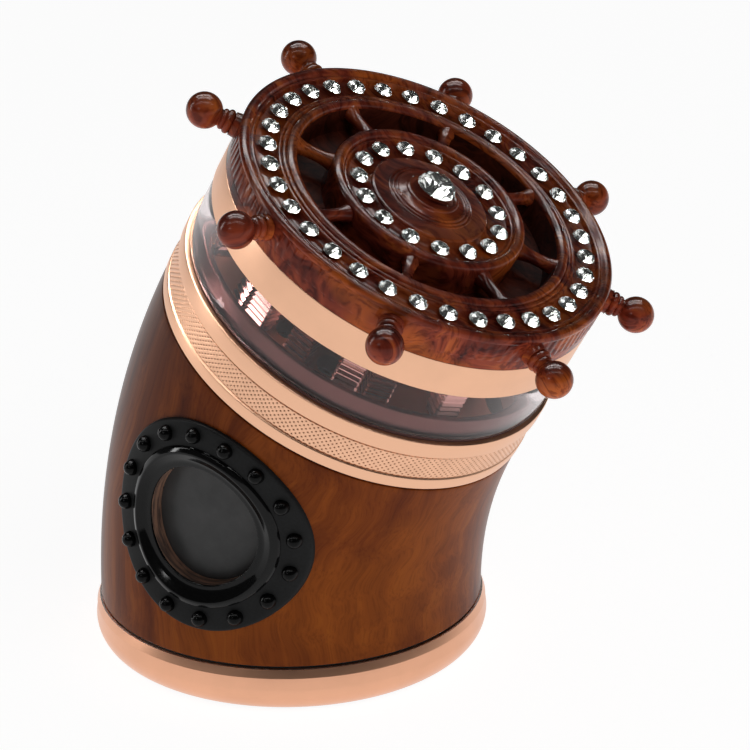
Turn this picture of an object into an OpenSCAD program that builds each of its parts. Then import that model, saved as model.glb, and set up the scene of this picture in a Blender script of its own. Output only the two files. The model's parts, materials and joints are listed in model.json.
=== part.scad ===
// Ship's-wheel herb grinder. A leaning barrel stands on a screw-on base cup. A threaded grinding
// tray closes its neck, and a magnetic lid with a clear window ring and a ship's wheel turns on top.
// Millimetres. The origin is the middle of the flat bottom, +Z is up, and +X is the way it leans.

/* [Barrel] */
// Outside radius of the barrel tube
barrel_r = 31.4; // [31.2:0.1:31.8]
// Radius of the barrel's bend, to the middle of the tube
bend_r = 89; // [84:1:96]
// Angle between the neck and the vertical
lean = 29.5; // [28:0.5:31]
// Thickness of the barrel's wall
wall = 4; // [3.6:0.1:4.4]
// Depth of the threaded bore in each end
bore_depth = 6; // [5.6:0.1:6.4]

/* [Base cup] */
// Largest radius of the base cup
cup_r = 32.3; // [32:0.1:32.8]
// Height of the cup under its spigot
cup_h = 8; // [7.6:0.1:8.4]
// Radius of the rounded bottom edge
cup_corner = 4.5; // [4:0.1:6]
// Thickness of the cup's floor
cup_floor = 1.6; // [1.2:0.1:2.2]

/* [Thread] */
// Inside radius of both threaded bores
bore_r = 28.9; // [28.8:0.05:29]
// Radius of a spigot between its thread ridges
spigot_r = 28.1; // [27.9:0.05:28.2]
// How far the thread ridges stand out
thread_depth = 0.5; // [0.4:0.05:0.55]
// Distance from one thread ridge to the next
thread_pitch = 1.5; // [1.4:0.05:1.5]
// Length of a spigot
spigot_h = 4.8; // [4.6:0.1:4.9]
// Thickness of the rubber seal under each joint
seal_t = 0.35; // [0.3:0.05:0.4]

/* [Sieve] */
// Distance between the holes of the sieve
mesh_pitch = 3.2; // [3:0.1:4]
// Radius of one hole in the sieve
mesh_hole_r = 1.15; // [0.8:0.05:1.3]

/* [Porthole] */
// How far the middle of the porthole is from the base's axis
port_x = 4.35; // [3:0.1:5]
// Height of the middle of the porthole
port_z = 31.5; // [30.5:0.1:32.5]
// Outside radius of the riveted flange
flange_r = 17.6; // [17:0.1:18]
// Outside radius of the raised bezel
bezel_r = 13.5; // [13:0.1:13.8]
// Radius of the clear view through the bezel
view_r = 9.9; // [9.6:0.1:10.6]
// Number of rivets in the flange
rivet_n = 16; // [12:1:18]
// Radius of a rivet's head
rivet_r = 1.25; // [1:0.05:1.3]

/* [Grinding tray] */
// Outside radius of the tray's smooth bands
tray_r = 31.5; // [31.3:0.1:31.7]
// Height of the tray's outer ring
tray_h = 10; // [9.8:0.1:10.2]
// Height of the tray's floor
floor_h = 7; // [6.6:0.1:7.2]
// Height of the lip that the window ring turns round
lip_h = 13.6; // [13:0.1:14]
// Height of the tips of the tray's teeth
tray_tip_h = 21.4; // [20:0.1:21.6]

/* [Lid] */
// Outside radius of the metal cap
cap_r = 31.3; // [31.2:0.05:31.4]
// Height where the window ring meets the cap
cap_h = 19.8; // [19.6:0.1:20]
// Height of the cap's top, where the wheel sits
cap_top = 25.7; // [25.5:0.1:25.9]
// Outside radius of the clear window ring
window_r = 31.05; // [31:0.05:31.15]
// Height of the tips of the lid's teeth
lid_tip_h = 11.6; // [11:0.1:12]
// Width of a tooth across the chamber
tooth_w = 4.3; // [3.8:0.1:4.6]
// Height of one step of a tooth's serrations
tooth_step = 1.05; // [0.9:0.05:1.2]

/* [Ship's wheel] */
// Height of the channel that the rim's stones lie in
channel_h = 30.8; // [30.6:0.1:31]
// Radius of the opening inside the rim
rim_in_r = 22; // [21.8:0.1:22.3]
// Radius of the hub
hub_r = 16.2; // [16:0.1:16.5]
// Number of ribs round the rim
rib_n = 120; // [90:1:120]
// Number of spokes and handles
spoke_n = 8; // [6:1:8]
// Angle of the first spoke
spoke_a = 26.1; // [20:0.1:30]
// Distance from the wheel's axis to the fattest part of a handle
knob_at = 37; // [36.5:0.1:37.4]
// Radius of the fattest part of a handle
knob_r = 2.9; // [2.6:0.1:3]
// Number of stones in the rim
rim_gem_n = 34; // [24:1:36]
// Number of stones in the hub
hub_gem_n = 15; // [10:1:16]
// Radius of a small stone
gem_r = 1.55; // [1.4:0.05:1.6]
// Radius of the stone in the middle
centre_gem_r = 3.25; // [3:0.05:3.3]

/* [Hidden] */
$fn = 96;

rose_gold = [0.87, 0.64, 0.5];
burl = [0.42, 0.17, 0.08];
walnut = [0.45, 0.24, 0.12];
black = [0.06, 0.06, 0.07];
rubber = [0.12, 0.12, 0.13];
crystal = [0.86, 0.9, 0.92];
steel = [0.7, 0.7, 0.72];

seam_z = cup_h + seal_t;
neck_x = bend_r * (1 - cos(lean));
neck_z = seam_z + bend_r * sin(lean);
cup_top_r = 31.6;
inner_r = 25.8;
thread_n = 3;
ridge_half = 0.5;
crest_half = 0.1;
seal_in_r = bore_r;

// The sieve is held up against the step at the end of the lower bore.
sieve_top = seam_z + bore_depth;
screen_t = 0.35;
sieve_ring_t = 0.6;

flange_t = 0.8;
bezel_rise = 1.6;
port_reach = 20;
pane_r = 11.4;
pane_out = barrel_r - 2.4;
pane_t = 1;
gasket_lip = 0.6;
rivet_circle_r = 15.55;
rivet_shank_r = 0.6;
rivet_shank = 2;
rivet_rise = 0.35;

lip_r = 29.35;
lip_t = 1.05;
floor_t = 2;
knurl_z = [2.6, 6.8];
knurl_deep = 0.25;
shoulder_proud = 0.2;
boss_r = 6;
magnet_r = 4;
magnet_t = 3;
tray_boss_h = 16.5;
magnet_gap = 1;
lid_boss_h = tray_boss_h + magnet_gap;

slip_gap = 0.05;
slip_t = 0.35;
window_h = tray_h + slip_t + 2 * slip_gap;
window_in_r = 29.7;
tongue_r = 30.3;
tongue_h = 3.2;
cap_top_t = 1.4;
plate_h = 22.6;
plate_r = 29.6;
plate_top = cap_top - cap_top_t;
tooth_d = 3.4;
tooth_bite = 0.35;
tooth_crest = 0.25;

// Each row of teeth is its radius, its number of teeth and the angle of its first tooth.
lid_rows = [[26, 10, 5.5], [16.6, 8, 10]];
tray_rows = [[21.3, 10, 20], [12, 6, 0]];
// Each ring of holes in the tray's floor is its radius, its number of holes and a hole's radius.
drop_rings = [[16.6, 12, 1.9], [25.2, 20, 1.6]];

screw_n = 3;
screw_at = 8.8;
screw_a = 40;
screw_r = 1.25;
screw_head_r = 2.2;
screw_head_t = 1.2;
screw_top = 29;
socket_r = 0.8;
socket_h = 0.7;

band_h = 1.5;
rib_core_r = 31;
rib_r = 31.45;
rib_top = 31.4;
wheel_floor_h = cap_top + band_h;
lip_bead = 0.85;
// Each lip of the rim is a low step under its beads: its inner radius and its width.
rim_lips = [[29, 1.6], [rim_in_r + lip_bead, 2]];
lip_foot = 0.55;
// Each bead on the rim or the hub is its distance from the wheel's axis, its height and its radius.
rim_beads = [
    [30.6, 31.25, lip_bead], [29.15, 31.35, 0.3], [rim_in_r + lip_bead, 31.25, lip_bead],
    [24.1, 31.35, 0.35], [24.75, 31.15, 0.3]
];
hub_top = 31.7;
hub_beads = [[hub_r - lip_bead, hub_top, lip_bead], [14.2, 31.6, 0.3]];
dome_beads = [[6.5, 32.25, 0.22], [4, 32.8, 0.35]];
hub_channel = [10.2, 3.6];
centre_seat_h = 32.8;
// The hub's middle rises in a dome, whose corners are distances from the axis and heights.
dome = [
    [0, 31.6], [9.7, 31.6], [9.5, 31.9], [8.9, 31.9], [8.6, 31.75], [7, 32.1], [5, 32.5],
    [4, centre_seat_h], [0, centre_seat_h]
];
spoke_h = 30.3;
spoke_tenon_r = 0.8;
spoke_tenon = 0.8;
spoke_end_r = 1.45;
// A spoke swells between two necks. Each corner is a radius and a distance from the hub.
spoke_swell = [[1.05, 0.9], [0.95, 1.6], [1.2, 3], [1.3, 3.8]];
spoke_collar = [0.5, 0.6];
spoke_neck_r = 1.1;
// The flat end of a spoke stops this far short of the rim, whose wall curves.
spoke_clear = 0.08;
handle_h = 28.95;
handle_tenon_r = 1.2;
handle_seat = 29.4;
collar_r = 2.15;
collar_t = 0.9;
stem_r = 1.45;
// Each ring on a handle's stem is its distance from the rim and its own radius.
stem_rings = [[1.35, 0.6], [2.3, 0.4]];
// The ball of a handle is cut off this far from its middle, where the stem meets it.
knob_flat = 2.4;
rim_gem_at = 26.92;
rim_gem_a = 5;
hub_channel_h = 31.1;
hub_gem_at = 11.91;
hub_gem_a = 1.7;
// Half section of a stone, in radii of the stone.
stone_section = [[0, 0], [0.8, 0], [1, 0.2], [1, 0.46], [0.5, 0.95], [0, 0.95]];

// The neck's own frame: its Z runs along the neck, with 0 where the barrel ends.
module in_neck() {
    translate([neck_x, 0, neck_z])
        rotate([0, lean, 0])
            children();
}

// Copies spread evenly round Z, each moved out to a radius.
module ring_of(n, at, first = 0) {
    for (i = [0:n - 1])
        rotate([0, 0, first + i * 360 / n])
            translate([at, 0, 0])
                children();
}

// A solid bar of round section that follows the barrel's bend.
module bend(r) {
    translate([bend_r, 0, seam_z])
        rotate([0, 0, 180])
            rotate([90, 0, 0])
                rotate_extrude(angle = lean)
                    translate([bend_r, 0])
                        circle(r);
}

// The part of the barrel's skin between two radii that lies within a radius of the porthole's axis.
module porthole_layer(r_in, r_out, r) {
    intersection() {
        difference() {
            bend(r_out);
            bend(r_in);
        }
        porthole_bore(r);
    }
}

module porthole_bore(r) {
    translate([port_x, -port_reach, port_z])
        rotate([90, 0, 0])
            cylinder(r = r, h = port_reach);
}

// Copies round the porthole, each with its Z square to the barrel's skin and 0 in the tube's middle.
module at_rivets() {
    for (i = [0:rivet_n - 1]) {
        x = port_x + rivet_circle_r * cos(i * 360 / rivet_n);
        z = port_z + rivet_circle_r * sin(i * 360 / rivet_n);
        across = bend_r - norm([bend_r - x, z - seam_z]);
        translate([bend_r, 0, seam_z])
            rotate([0, atan2(z - seam_z, bend_r - x), 0])
                translate([-bend_r, 0, 0])
                    rotate([0, 0, -acos(across / (barrel_r + flange_t))])
                        rotate([0, 90, 0])
                            children();
    }
}

module rivet_shanks() {
    at_rivets()
        translate([0, 0, barrel_r - rivet_shank])
            cylinder(r = rivet_shank_r, h = rivet_shank + flange_t + rivet_rise / 2);
}

// Half section of a threaded spigot that stands on height 0, with its thread as plain ridges.
module spigot_section() {
    translate([inner_r, 0])
        square([spigot_r - inner_r, spigot_h]);
    for (i = [0:thread_n - 1])
        translate([spigot_r, (i + 0.5) * thread_pitch])
            polygon([
                [-ridge_half, -ridge_half], [0, -ridge_half], [thread_depth, -crest_half],
                [thread_depth, crest_half], [0, ridge_half], [-ridge_half, ridge_half]
            ]);
}

// A serrated tooth that stands on height 0: a stack of steps, each wider at its foot.
module tooth(height) {
    steps = floor(height / tooth_step);
    tip = tooth_d / 2 - 2 * tooth_bite;
    edge = [
        for (i = [0:steps - 1])
            each [
                [tooth_d / 2 - tooth_bite, i * tooth_step],
                [tooth_d / 2, (i + tooth_crest) * tooth_step]
            ]
    ];
    other = [for (i = [len(edge) - 1:-1:0]) [-edge[i][0], edge[i][1]]];
    translate([0, tooth_w / 2, 0])
        rotate([90, 0, 0])
            linear_extrude(tooth_w)
                polygon(concat(edge, [[tip, height], [-tip, height]], other));
}

module teeth(rows, height) {
    for (row = rows)
        ring_of(row[1], row[0], row[2])
            tooth(height);
}

// A flat-backed stone: a short girdle under a faceted crown.
module stone(r) {
    rotate_extrude()
        polygon(r * stone_section);
}

// Half section of a turned handle along its own axis, from its seat in the rim outwards.
module handle_section() {
    knob_from = knob_at - handle_seat;
    square([handle_tenon_r, rib_r - handle_seat]);
    translate([0, rib_r - handle_seat]) {
        square([collar_r, collar_t]);
        square([stem_r, knob_at - rib_r]);
        for (ring = stem_rings)
            translate([stem_r, ring[0]])
                circle(ring[1]);
    }
    intersection() {
        translate([0, knob_from])
            circle(knob_r);
        translate([0, knob_from - knob_flat])
            square([knob_r, knob_flat + knob_r]);
    }
}

// Half section of a turned spoke along its own axis, from the hub outwards.
module spoke_section() {
    gap = rim_in_r - hub_r;
    end = gap - spoke_clear;
    translate([0, -spoke_tenon])
        square([spoke_tenon_r, gap + 2 * spoke_tenon]);
    polygon(concat(
        [[0, 0], [spoke_end_r, 0], [spoke_end_r, spoke_collar[0]]],
        spoke_swell,
        [[spoke_neck_r, end - 1], [spoke_end_r, end - spoke_collar[1]], [spoke_end_r, end], [0, end]]
    ));
}

// Copies whose Z runs outwards from the wheel's axis, from a radius and at a height.
module at_spokes(from, height) {
    ring_of(spoke_n, from, spoke_a)
        translate([0, 0, height])
            rotate([0, 90, 0])
                children();
}

module screws() {
    ring_of(screw_n, screw_at, screw_a)
        translate([0, 0, plate_h]) {
            cylinder(r1 = screw_head_r, r2 = screw_r, h = screw_head_t);
            cylinder(r = screw_r, h = screw_top - plate_h);
        }
}

module base_cup() {
    color(rose_gold)
        rotate_extrude() {
            difference() {
                union() {
                    translate([cup_r - cup_corner, cup_corner])
                        circle(cup_corner);
                    square([cup_r - cup_corner, cup_h]);
                    translate([0, cup_corner])
                        polygon([
                            [0, 0], [cup_r, 0], [cup_top_r, cup_h - cup_corner], [0, cup_h - cup_corner]
                        ]);
                }
                translate([-1, cup_floor])
                    square([inner_r + 1, cup_h]);
                translate([0, cup_h])
                    square([cup_r, cup_corner]);
            }
            translate([0, cup_h])
                spigot_section();
        }
}

module base_seal() {
    color(rubber)
        translate([0, 0, cup_h])
            rotate_extrude()
                translate([seal_in_r, 0])
                    square([barrel_r - 0.3 - seal_in_r, seal_t]);
}

module body_shell() {
    color(walnut)
        difference() {
            bend(barrel_r);
            bend(barrel_r - wall);
            translate([0, 0, seam_z - 1])
                cylinder(r = bore_r, h = bore_depth + 1);
            in_neck()
                translate([0, 0, -bore_depth])
                    cylinder(r = bore_r, h = bore_depth + 1);
            porthole_bore(view_r);
            porthole_layer(barrel_r - wall - 1, pane_out, pane_r);
            rivet_shanks();
        }
}

module sieve_screen() {
    reach = bore_r - 3.6;
    rows = floor(reach / (mesh_pitch * sin(60)));
    color(steel)
        translate([0, 0, sieve_top - screen_t])
            linear_extrude(screen_t)
                difference() {
                    circle(bore_r - 0.1);
                    for (row = [-rows:rows], col = [-rows - 2:rows + 2]) {
                        hole = [(col + 0.5 * (abs(row) % 2)) * mesh_pitch, row * mesh_pitch * sin(60)];
                        if (norm(hole) < reach)
                            translate(hole)
                                circle(mesh_hole_r);
                    }
                }
}

module sieve_ring() {
    color(steel)
        translate([0, 0, sieve_top - screen_t - sieve_ring_t])
            rotate_extrude()
                translate([inner_r, 0])
                    square([bore_r - 0.05 - inner_r, sieve_ring_t]);
}

module porthole_flange() {
    color(black)
        difference() {
            porthole_layer(barrel_r, barrel_r + flange_t, flange_r);
            porthole_bore(bezel_r);
            rivet_shanks();
        }
}

module porthole_bezel() {
    color(black)
        difference() {
            porthole_layer(barrel_r, barrel_r + bezel_rise, bezel_r);
            porthole_bore(view_r);
        }
}

module porthole_window() {
    color([0.3, 0.3, 0.32, 0.6])
        porthole_layer(pane_out - pane_t, pane_out, pane_r);
}

module porthole_gasket() {
    color(rubber)
        difference() {
            porthole_layer(barrel_r - wall, pane_out - pane_t, pane_r);
            porthole_bore(view_r - gasket_lip);
        }
}

module porthole_rivets() {
    color(black) {
        difference() {
            at_rivets()
                translate([0, 0, barrel_r + flange_t]) {
                    translate([0, 0, -rivet_rise])
                        cylinder(r = rivet_r, h = 2 * rivet_rise);
                    translate([0, 0, rivet_rise])
                        sphere(rivet_r);
                }
            bend(barrel_r + flange_t);
        }
        rivet_shanks();
    }
}

module neck_seal() {
    color(rubber)
        in_neck()
            rotate_extrude()
                translate([seal_in_r, 0])
                    square([barrel_r - 0.3 - seal_in_r, seal_t]);
}

module grinding_tray() {
    color(rose_gold)
        in_neck()
            difference() {
                union() {
                    rotate_extrude() {
                        polygon([
                            [inner_r, seal_t], [tray_r, seal_t], [tray_r, knurl_z[0] - 0.3],
                            [tray_r - 0.5, knurl_z[0] - 0.15], [tray_r - knurl_deep, knurl_z[0]],
                            [tray_r - knurl_deep, knurl_z[1]], [tray_r + shoulder_proud, knurl_z[1] + 0.4],
                            [tray_r + shoulder_proud, tray_h], [lip_r - lip_t, tray_h],
                            [lip_r - lip_t, floor_h], [inner_r, floor_h]
                        ]);
                        translate([lip_r - lip_t, floor_h])
                            square([lip_t, lip_h - floor_h]);
                        translate([0, floor_h - floor_t])
                            square([inner_r + 1, floor_t]);
                        square([boss_r, tray_boss_h]);
                        translate([0, seal_t - spigot_h])
                            spigot_section();
                    }
                }
                translate([0, 0, tray_boss_h - magnet_t])
                    cylinder(r = magnet_r, h = magnet_t + 1);
                translate([0, 0, -1])
                    cylinder(r = boss_r + 1, h = floor_h - floor_t + 1);
                for (ring = drop_rings)
                    ring_of(ring[1], ring[0], 360 / ring[1] / 2)
                        translate([0, 0, floor_h - floor_t - 0.5])
                            cylinder(r = ring[2], h = floor_t + 1);
            }
}

module tray_teeth() {
    color(rose_gold)
        in_neck()
            translate([0, 0, floor_h])
                teeth(tray_rows, tray_tip_h - floor_h);
}

module tray_magnet() {
    color(steel)
        in_neck()
            translate([0, 0, tray_boss_h - magnet_t])
                cylinder(r = magnet_r, h = magnet_t);
}

module friction_ring() {
    color(rubber)
        in_neck()
            translate([0, 0, tray_h + slip_gap])
                rotate_extrude()
                    translate([window_in_r, 0])
                        square([window_r - 0.2 - window_in_r, slip_t]);
}

module window_ring() {
    color([0.75, 0.62, 0.62, 0.45])
        in_neck()
            rotate_extrude() {
                translate([window_in_r, window_h])
                    square([window_r - window_in_r, cap_h - window_h]);
                translate([window_in_r, window_h])
                    square([tongue_r - window_in_r, cap_h + tongue_h - window_h]);
            }
}

module lid_cap() {
    color(rose_gold)
        in_neck()
            difference() {
                rotate_extrude() {
                    translate([tongue_r, cap_h])
                        square([cap_r - tongue_r, cap_top - cap_h]);
                    translate([0, plate_top])
                        square([cap_r, cap_top_t]);
                }
                screws();
            }
}

module tooth_plate() {
    color(rose_gold)
        in_neck()
            difference() {
                rotate_extrude() {
                    translate([0, plate_h])
                        square([plate_r, plate_top - plate_h]);
                    translate([0, lid_boss_h])
                        square([boss_r, plate_h - lid_boss_h]);
                }
                translate([0, 0, lid_boss_h - 1])
                    cylinder(r = magnet_r, h = magnet_t + 1);
                screws();
            }
}

module lid_teeth() {
    color(rose_gold)
        in_neck()
            translate([0, 0, plate_h])
                mirror([0, 0, 1])
                    teeth(lid_rows, plate_h - lid_tip_h);
}

module lid_magnet() {
    color(steel)
        in_neck()
            translate([0, 0, lid_boss_h])
                cylinder(r = magnet_r, h = magnet_t);
}

module lid_screws() {
    color(steel)
        in_neck()
            difference() {
                screws();
                ring_of(screw_n, screw_at, screw_a)
                    translate([0, 0, plate_h - 1])
                        cylinder(r = socket_r, h = 1 + socket_h, $fn = 6);
            }
}

module wheel_rim() {
    color(burl)
        in_neck()
            difference() {
                union() {
                    rotate_extrude() {
                        translate([0, cap_top])
                            square([cap_r, band_h]);
                        translate([rim_in_r, cap_top])
                            square([rib_core_r - rim_in_r, channel_h - cap_top]);
                        for (lip = rim_lips)
                            translate([lip[0], channel_h])
                                square([lip[1], lip_foot]);
                        for (bead = rim_beads)
                            translate([bead[0], bead[1]])
                                circle(bead[2]);
                    }
                    difference() {
                        translate([0, 0, wheel_floor_h])
                            linear_extrude(rib_top - wheel_floor_h)
                                polygon([
                                    for (i = [0:2 * rib_n - 1])
                                        (i % 2 == 0 ? rib_r : rib_core_r - 0.05)
                                            * [cos(i * 180 / rib_n), sin(i * 180 / rib_n)]
                                ]);
                        cylinder(r = rib_core_r - 0.6, h = 2 * rib_top);
                    }
                }
                at_spokes(rim_in_r - 1, spoke_h)
                    cylinder(r = spoke_tenon_r, h = spoke_tenon + 1);
                at_spokes(handle_seat, handle_h)
                    cylinder(r = handle_tenon_r, h = rib_r - handle_seat + 1);
                screws();
            }
}

module wheel_hub() {
    color(burl)
        in_neck()
            difference() {
                rotate_extrude() {
                    translate([0, wheel_floor_h])
                        square([hub_r, hub_top - wheel_floor_h]);
                    for (bead = concat(hub_beads, dome_beads))
                        translate([bead[0], bead[1]])
                            circle(bead[2]);
                    polygon(dome);
                }
                rotate_extrude()
                    translate([hub_channel[0], hub_channel_h])
                        square([hub_channel[1], 2]);
                at_spokes(hub_r - spoke_tenon, spoke_h)
                    cylinder(r = spoke_tenon_r, h = spoke_tenon + 1);
                screws();
            }
}

module wheel_spokes() {
    color(burl)
        in_neck()
            at_spokes(hub_r, spoke_h)
                rotate_extrude()
                    spoke_section();
}

module wheel_handles() {
    color(burl)
        in_neck()
            at_spokes(handle_seat, handle_h)
                rotate_extrude()
                    handle_section();
}

module rim_gems() {
    color(crystal)
        in_neck()
            translate([0, 0, channel_h])
                ring_of(rim_gem_n, rim_gem_at, rim_gem_a)
                    stone(gem_r);
}

module hub_gems() {
    color(crystal)
        in_neck()
            translate([0, 0, hub_channel_h])
                ring_of(hub_gem_n, hub_gem_at, hub_gem_a)
                    stone(gem_r);
}

module centre_gem() {
    color(crystal)
        in_neck()
            translate([0, 0, centre_seat_h])
                stone(centre_gem_r);
}

base_cup();
base_seal();
body_shell();
sieve_screen();
sieve_ring();
porthole_flange();
porthole_bezel();
porthole_window();
porthole_gasket();
porthole_rivets();
neck_seal();
grinding_tray();
tray_teeth();
tray_magnet();
friction_ring();
window_ring();
lid_cap();
tooth_plate();
lid_teeth();
lid_magnet();
lid_screws();
wheel_rim();
wheel_hub();
wheel_spokes();
wheel_handles();
rim_gems();
hub_gems();
centre_gem();
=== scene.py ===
"""The looks of the ship's-wheel herb grinder.

Pieces are drawn in millimetres and placed in metres. The studio's sizes are in metres throughout.
"""

import json
import math
import random

import bmesh
import bpy
from mathutils import Matrix, Vector


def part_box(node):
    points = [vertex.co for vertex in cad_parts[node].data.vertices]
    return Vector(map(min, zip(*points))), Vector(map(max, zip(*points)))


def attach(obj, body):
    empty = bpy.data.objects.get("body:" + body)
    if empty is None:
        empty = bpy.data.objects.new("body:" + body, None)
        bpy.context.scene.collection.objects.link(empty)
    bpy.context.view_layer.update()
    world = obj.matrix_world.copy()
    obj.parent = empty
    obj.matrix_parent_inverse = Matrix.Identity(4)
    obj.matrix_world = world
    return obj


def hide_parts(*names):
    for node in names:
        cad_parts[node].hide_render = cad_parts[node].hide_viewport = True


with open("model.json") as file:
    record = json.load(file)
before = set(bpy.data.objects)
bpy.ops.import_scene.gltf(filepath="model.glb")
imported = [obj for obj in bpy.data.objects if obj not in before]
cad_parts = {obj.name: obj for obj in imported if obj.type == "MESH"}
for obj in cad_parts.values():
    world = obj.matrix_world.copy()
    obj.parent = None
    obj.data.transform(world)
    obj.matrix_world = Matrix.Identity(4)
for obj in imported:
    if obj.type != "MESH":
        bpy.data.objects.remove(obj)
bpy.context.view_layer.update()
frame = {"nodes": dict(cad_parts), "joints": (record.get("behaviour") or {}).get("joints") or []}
MM = 0.001

# ---------------------------------------------------------------- sizes, in millimetres

JOINTS = {joint["name"]: joint for joint in frame["joints"]}
NECK_AT = Vector(JOINTS["tray_unscrew"]["pos_m"])
NECK_AXIS = Vector(JOINTS["tray_unscrew"]["axis"])
LEAN = math.atan2(NECK_AXIS.x, NECK_AXIS.z)
NECK = Matrix.Translation(NECK_AT) @ Matrix.Rotation(LEAN, 4, "Y") @ Matrix.Scale(MM, 4)
BASE = Matrix.Scale(MM, 4)

BARREL_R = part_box("body_shell")[1].y / MM
SEAM_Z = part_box("body_shell")[0].z / MM
BEND_R = NECK_AT.x / MM / (1 - math.cos(LEAN))
BARREL_L = BEND_R * LEAN
CUP_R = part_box("base_cup")[1].x / MM
CUP_H = 8.0
CUP_CORNER = 4.5
CUP_FLOOR = 1.6
FOOT_H = 0.6
EDGE_H = 7.95
EDGE_R = 31.3
WALL = 4.0
BORE_R = 28.9
BORE_DEPTH = 6.0
INNER_R = 25.8
SPIGOT_R = 28.1
SPIGOT_H = 4.8
PITCH = 1.5
RIDGES = 3
RIDGE = 0.5
SEAL = 0.35

flange_low, flange_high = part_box("porthole_flange")
PORT_X = (flange_low.x + flange_high.x) / 2 / MM
PORT_Z = (flange_low.z + flange_high.z) / 2 / MM
FLANGE_R = (flange_high.x - flange_low.x) / 2 / MM
FLANGE_T = 0.8
BEZEL_R = 13.5
BEZEL_RISE = 1.6
VIEW_R = 9.9
PANE_H = -2.4
PANE_T = 1.0
PANE_R = 11.4
RIVETS = 16
RIVET_CIRCLE_R = 15.55
RIVET_R = 1.25
RIVET_RISE = 0.35

TRAY_R = 31.5
UPPER_BAND_R = TRAY_R + 0.18
KNURL_LOW, KNURL_HIGH = 2.6, 6.8
KNURL_SEAT_R = 31.1
KNURL_PITCHES, KNURL_ROWS = 190, 10
TRAY_H = 10.0
TRAY_FLOOR_LOW, TRAY_FLOOR_HIGH = 5, 7
LIP_H = 13.6
LIP_R, LIP_IN_R = 29.35, 28.3
BOSS_R, BOSS_H = 6, 16.5
MAGNET_R, MAGNET_H = 4, 13.5
CAP_R, CAP_IN_R = 31.3, 30.3
CAP_LOW, CAP_HIGH = 19.8, 25.7
CAP_CEILING = 24.3
WINDOW_R, WINDOW_IN_R = 31.05, 29.7
WINDOW_LOW, WINDOW_HIGH = 10.46, 22.9

RIBS = 120
RIB_R = 31.28
RIB_DEPTH = 0.06
RIM_IN_R = 22.0
CHANNEL_H = 30.8
WELL_H = 27.2
HUB_R = 16.2
HUB_CHANNEL_H = 31.1
SPOKES = 8
SPOKE_TURN = math.radians(26.1)
SPOKE_H = 30.3
HANDLE_H = 28.95
KNOB_AT = 37.0
KNOB_R = 2.88
STONE_R = 1.55
CENTRE_STONE_R = 3.2

CAMERA_TURN = math.radians(32.72)

# ---------------------------------------------------------------- shaders


class Shader:
    """A material with a Principled surface, and short calls that add nodes to it."""

    def __init__(self, name, slot=None, **values):
        self.material = bpy.data.materials.new(name + "_look")
        self.material["slot"] = slot or name
        self.material.use_nodes = True
        self.tree = self.material.node_tree
        self.surface = self.tree.nodes["Principled BSDF"]
        for key, value in values.items():
            self.surface.inputs[key.replace("_", " ")].default_value = value

    def add(self, kind, inputs=None, **settings):
        made = self.tree.nodes.new("ShaderNode" + kind)
        for key, value in settings.items():
            setattr(made, key, value)
        for key, value in (inputs or {}).items():
            self.put(made.inputs[key], value)
        return made

    def put(self, socket, value):
        if isinstance(value, bpy.types.NodeSocket):
            self.tree.links.new(value, socket)
        else:
            socket.default_value = value

    def grain(self, scale):
        """Each piece's own coordinates in millimetres, stretched along each axis."""
        place = self.add("Attribute", attribute_name="grain").outputs["Vector"]
        return self.add("Mapping", {"Vector": place, "Scale": scale}).outputs["Vector"]

    def stretch(self, vector, x, y, z):
        return self.add("Mapping", {"Vector": vector, "Scale": (x, y, z)}).outputs["Vector"]

    def noise(self, vector, scale, detail=4.0, roughness=0.55, distortion=0.0):
        inputs = {"Vector": vector, "Scale": scale, "Detail": detail, "Roughness": roughness,
                  "Distortion": distortion}
        return self.add("TexNoise", inputs).outputs

    def warp(self, vector, by, amount):
        """The vector pushed about by a colour's difference from mid grey."""
        centred = self.add("VectorMath", {0: by, 1: (0.5, 0.5, 0.5)}, operation="SUBTRACT").outputs[0]
        push = self.add("VectorMath", {0: centred, "Scale": amount}, operation="SCALE").outputs[0]
        return self.add("VectorMath", {0: vector, 1: push}, operation="ADD").outputs[0]

    def ramp(self, factor, *stops):
        made = self.add("ValToRGB", {"Fac": factor})
        elements = made.color_ramp.elements
        while len(elements) < len(stops):
            elements.new(0.5)
        for element, (position, colour) in zip(elements, stops):
            element.position = position
            element.color = (*colour, 1.0)
        return made.outputs["Color"]

    def mix(self, factor, first, second, blend="MIX"):
        made = self.add("Mix", data_type="RGBA", blend_type=blend)
        self.put(made.inputs["Factor"], factor)
        self.put(made.inputs["A"], first)
        self.put(made.inputs["B"], second)
        return made.outputs["Result"]

    def span(self, value, low, high, to_low=0.0, to_high=1.0):
        inputs = {"Value": value, "From Min": low, "From Max": high, "To Min": to_low, "To Max": to_high}
        return self.add("MapRange", inputs).outputs["Result"]

    def bump(self, height, strength, distance=0.1):
        inputs = {"Height": height, "Strength": strength, "Distance": distance * MM}
        self.put(self.surface.inputs["Normal"], self.add("Bump", inputs).outputs["Normal"])

    def set(self, **links):
        for key, value in links.items():
            self.put(self.surface.inputs[key.replace("_", " ")], value)
        return self.material


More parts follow.
